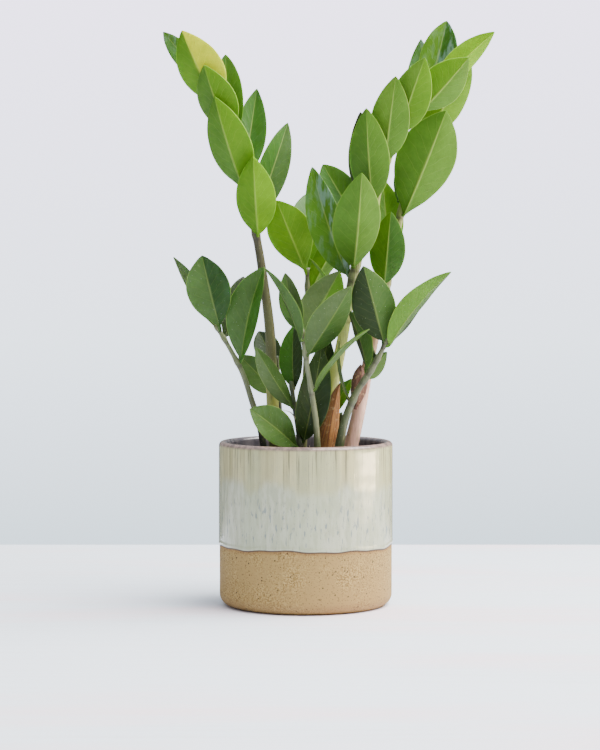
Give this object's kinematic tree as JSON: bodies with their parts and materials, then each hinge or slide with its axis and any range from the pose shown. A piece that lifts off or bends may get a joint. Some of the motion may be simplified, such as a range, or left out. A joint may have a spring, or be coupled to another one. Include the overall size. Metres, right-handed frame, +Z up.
{
  "type": "potted zz plant",
  "caption": "Zz plant with upright stems of pointed glossy leaflets, growing in potting soil in a straight-sided stoneware pot glazed down to a bare speckled foot.",
  "frame": {"origin": "middle of the pot's flat underside", "axes": "+Z up along the pot's axis, +X to the right seen from the front, +Y away from the front"},
  "size_m": [0.2461, 0.1315, 0.4362],
  "materials": {
    "glazed_stoneware": "pale cream reactive glaze over sandy speckled stoneware that is left bare on the lower third",
    "potting_soil": "dark crumbly potting mix, matte",
    "olive_stem": "fleshy green stem mottled with brown, satin",
    "young_stem": "fleshy yellow-green stem, satin",
    "young_leaflet": "light green waxy leaflet, glossy above and matte below, with a pale midrib",
    "mature_leaflet": "dark green waxy leaflet, glossy above, with a pale midrib",
    "papery_sheath": "dry papery brown scale with fine lengthwise ribs"
  },
  "bodies": {
    "root": {"stoneware_pot": "glazed_stoneware", "tall_left_stem": "olive_stem", "tall_left_leaflet_1": "young_leaflet", "tall_left_leaflet_2": "young_leaflet", "tall_left_leaflet_3": "young_leaflet", "tall_left_leaflet_4": "young_leaflet", "tall_left_leaflet_5": "young_leaflet", "tall_left_leaflet_6": "young_leaflet", "tall_left_leaflet_7": "young_leaflet", "tall_left_leaflet_8": "young_leaflet", "low_left_stem": "olive_stem", "low_left_leaflet_1": "mature_leaflet", "low_left_leaflet_2": "mature_leaflet", "low_left_leaflet_3": "mature_leaflet", "low_left_leaflet_4": "mature_leaflet", "thin_middle_stem": "olive_stem", "thin_middle_leaflet_1": "mature_leaflet", "thin_middle_leaflet_2": "mature_leaflet", "thin_middle_leaflet_3": "mature_leaflet", "thin_middle_leaflet_4": "mature_leaflet", "thin_middle_leaflet_5": "mature_leaflet", "tall_middle_stem": "young_stem", "tall_middle_leaflet_1": "mature_leaflet", "tall_middle_leaflet_2": "young_leaflet", "tall_middle_leaflet_3": "young_leaflet", "tall_middle_leaflet_4": "young_leaflet", "tall_middle_leaflet_5": "young_leaflet", "tall_middle_leaflet_6": "young_leaflet", "tall_middle_leaflet_7": "young_leaflet", "tall_middle_leaflet_8": "young_leaflet", "tall_middle_leaflet_9": "young_leaflet", "tall_middle_leaflet_10": "young_leaflet", "tall_right_stem": "young_stem", "tall_right_leaflet_1": "young_leaflet", "tall_right_leaflet_2": "young_leaflet", "tall_right_leaflet_3": "young_leaflet", "tall_right_leaflet_4": "young_leaflet", "tall_right_leaflet_5": "young_leaflet", "back_middle_stem": "olive_stem", "back_middle_leaflet_1": "young_leaflet", "back_middle_leaflet_2": "young_leaflet", "back_middle_leaflet_3": "young_leaflet", "low_right_stem": "olive_stem", "low_right_leaflet_1": "mature_leaflet", "low_right_leaflet_2": "young_leaflet", "low_right_leaflet_3": "mature_leaflet", "low_right_leaflet_4": "mature_leaflet", "low_right_leaflet_5": "mature_leaflet", "low_right_leaflet_6": "mature_leaflet", "short_front_stem": "olive_stem", "short_front_leaflet_1": "mature_leaflet", "short_front_leaflet_2": "mature_leaflet", "short_front_leaflet_3": "mature_leaflet", "short_front_leaflet_4": "mature_leaflet", "short_back_stem": "olive_stem", "short_back_leaflet_1": "mature_leaflet", "short_back_leaflet_2": "mature_leaflet", "tall_middle_sheath": "papery_sheath", "tall_right_sheath": "papery_sheath", "potting_soil": "potting_soil"}
  },
  "joints": []
}
